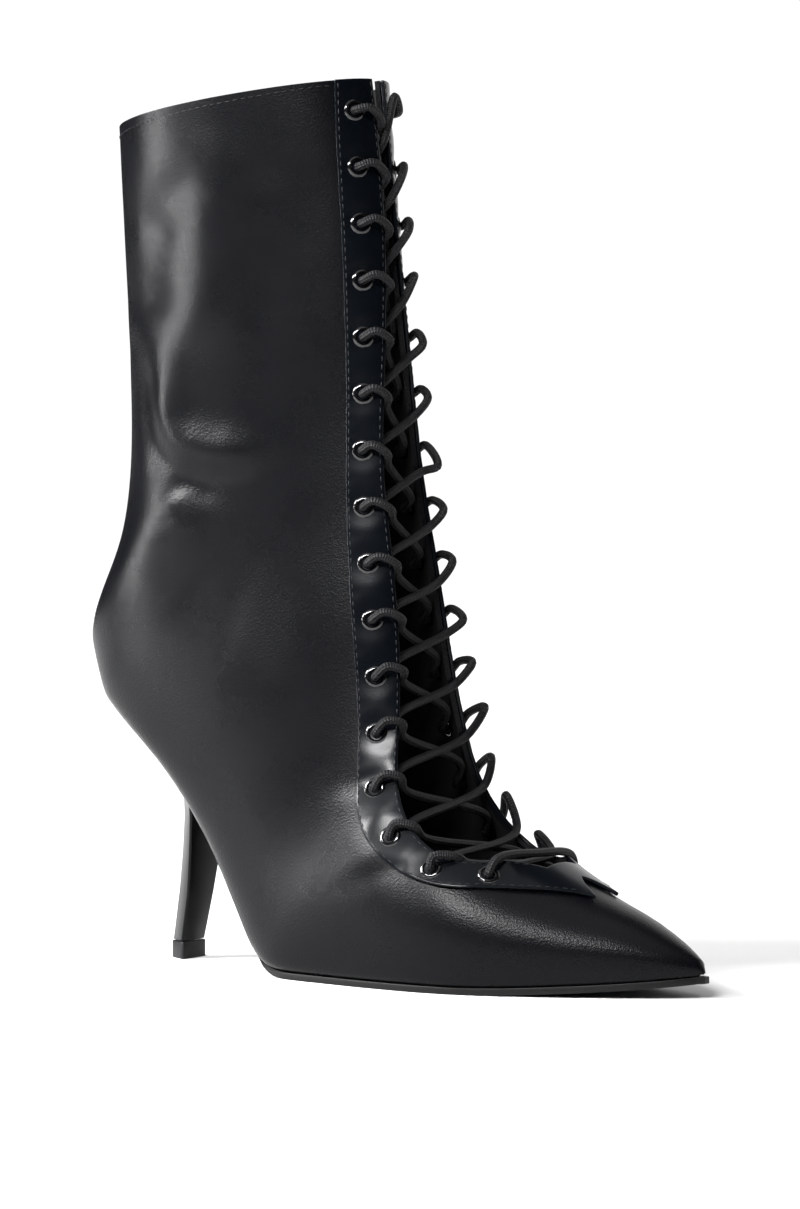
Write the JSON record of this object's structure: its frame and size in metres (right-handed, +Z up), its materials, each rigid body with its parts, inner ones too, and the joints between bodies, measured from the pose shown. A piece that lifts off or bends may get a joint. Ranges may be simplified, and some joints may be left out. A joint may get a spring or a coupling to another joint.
{
  "type": "lace up ankle boot",
  "caption": "Pointed ankle boot for the right foot with a slim high heel, a wide open laced throat with no tongue, and a flat cut collar.",
  "frame": {"origin": "on the floor, under the heel's top piece", "axes": "+X to the toe, +Z up, -Y the outer (lateral) side of the foot"},
  "size_m": [0.2531, 0.0837, 0.3126],
  "materials": {
    "upper_leather": "smooth satin, near black",
    "facing_leather": "glossier than the upper",
    "insole_board": "matt black",
    "outsole_rubber": "smooth black",
    "heel_cover": "black, covered to match the upper",
    "top_piece": "hard black rubber",
    "eyelet_enamel": "black enamel",
    "lace_cord": "round waxed braid, charcoal"
  },
  "bodies": {
    "root": {"eyelet_far_01": "eyelet_enamel", "eyelet_far_02": "eyelet_enamel", "eyelet_far_03": "eyelet_enamel", "eyelet_far_04": "eyelet_enamel", "eyelet_far_05": "eyelet_enamel", "eyelet_far_06": "eyelet_enamel", "eyelet_far_07": "eyelet_enamel", "eyelet_far_08": "eyelet_enamel", "eyelet_far_09": "eyelet_enamel", "eyelet_far_10": "eyelet_enamel", "eyelet_far_11": "eyelet_enamel", "eyelet_far_12": "eyelet_enamel", "eyelet_far_13": "eyelet_enamel", "eyelet_far_14": "eyelet_enamel", "eyelet_far_15": "eyelet_enamel", "eyelet_far_16": "eyelet_enamel", "eyelet_near_01": "eyelet_enamel", "eyelet_near_02": "eyelet_enamel", "eyelet_near_03": "eyelet_enamel", "eyelet_near_04": "eyelet_enamel", "eyelet_near_05": "eyelet_enamel", "eyelet_near_06": "eyelet_enamel", "eyelet_near_07": "eyelet_enamel", "eyelet_near_08": "eyelet_enamel", "eyelet_near_09": "eyelet_enamel", "eyelet_near_10": "eyelet_enamel", "eyelet_near_11": "eyelet_enamel", "eyelet_near_12": "eyelet_enamel", "eyelet_near_13": "eyelet_enamel", "eyelet_near_14": "eyelet_enamel", "eyelet_near_15": "eyelet_enamel", "eyelet_near_16": "eyelet_enamel", "eyestay": "facing_leather", "heel": "heel_cover", "heel_tip": "top_piece", "insole": "insole_board", "lace_bar": "lace_cord", "lace_cross_01": "lace_cord", "lace_cross_02": "lace_cord", "lace_cross_03": "lace_cord", "lace_cross_04": "lace_cord", "lace_cross_05": "lace_cord", "lace_cross_06": "lace_cord", "lace_cross_07": "lace_cord", "lace_cross_08": "lace_cord", "lace_cross_09": "lace_cord", "lace_cross_10": "lace_cord", "lace_cross_11": "lace_cord", "lace_cross_12": "lace_cord", "lace_cross_13": "lace_cord", "lace_cross_14": "lace_cord", "lace_cross_15": "lace_cord", "outsole": "outsole_rubber", "upper": "upper_leather"}
  },
  "joints": []
}
